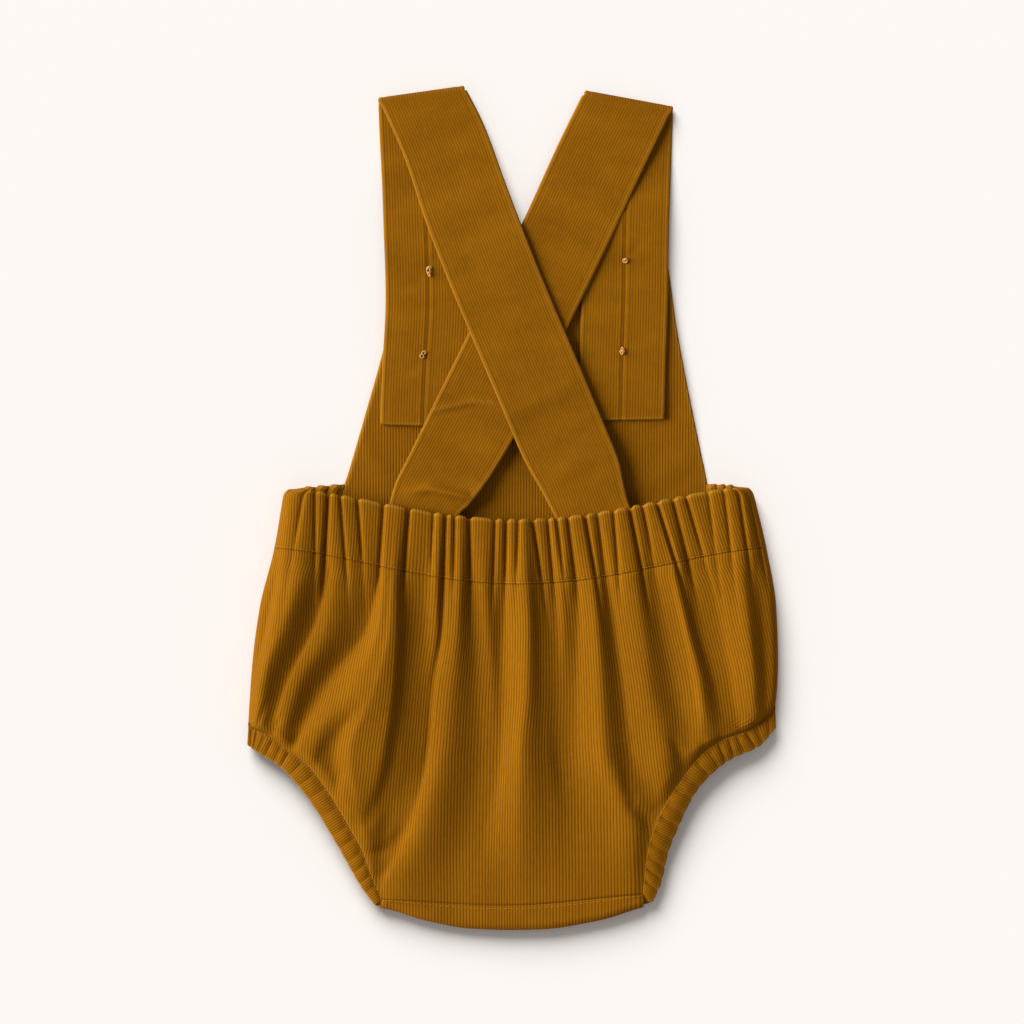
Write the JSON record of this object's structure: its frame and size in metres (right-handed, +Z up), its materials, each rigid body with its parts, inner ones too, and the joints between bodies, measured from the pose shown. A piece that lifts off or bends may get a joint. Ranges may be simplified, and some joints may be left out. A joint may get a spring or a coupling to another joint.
{
  "type": "baby romper",
  "caption": "Baby's corduroy romper with crossed button straps, a flat bib and elastic-gathered bloomers, lying back up.",
  "frame": {"origin": "on the surface that the romper lies on, under the middle of its box", "axes": "+Y from the legs up to the shoulders, +X across to the right with the back facing up, +Z up from the surface"},
  "size_m": [0.2651, 0.4224, 0.0175],
  "materials": {
    "corduroy": "matt, fine-wale cotton corduroy, mustard, with a soft nap",
    "button": "satin, horn-coloured, four holes",
    "thread": "matt cotton sewing thread, tan"
  },
  "bodies": {
    "root": {"back_casing": "corduroy", "back_panel": "corduroy", "bib": "corduroy", "button_left_lower": "button", "button_left_upper": "button", "button_right_lower": "button", "button_right_upper": "button", "button_thread_left_lower": "thread", "button_thread_left_upper": "thread", "button_thread_right_lower": "thread", "button_thread_right_upper": "thread", "crotch_band": "corduroy", "front_casing_left": "corduroy", "front_casing_right": "corduroy", "front_panel": "corduroy", "leg_casing_left_back": "corduroy", "leg_casing_left_front": "corduroy", "leg_casing_right_back": "corduroy", "leg_casing_right_front": "corduroy", "strap_left": "corduroy", "strap_right": "corduroy"}
  },
  "joints": []
}
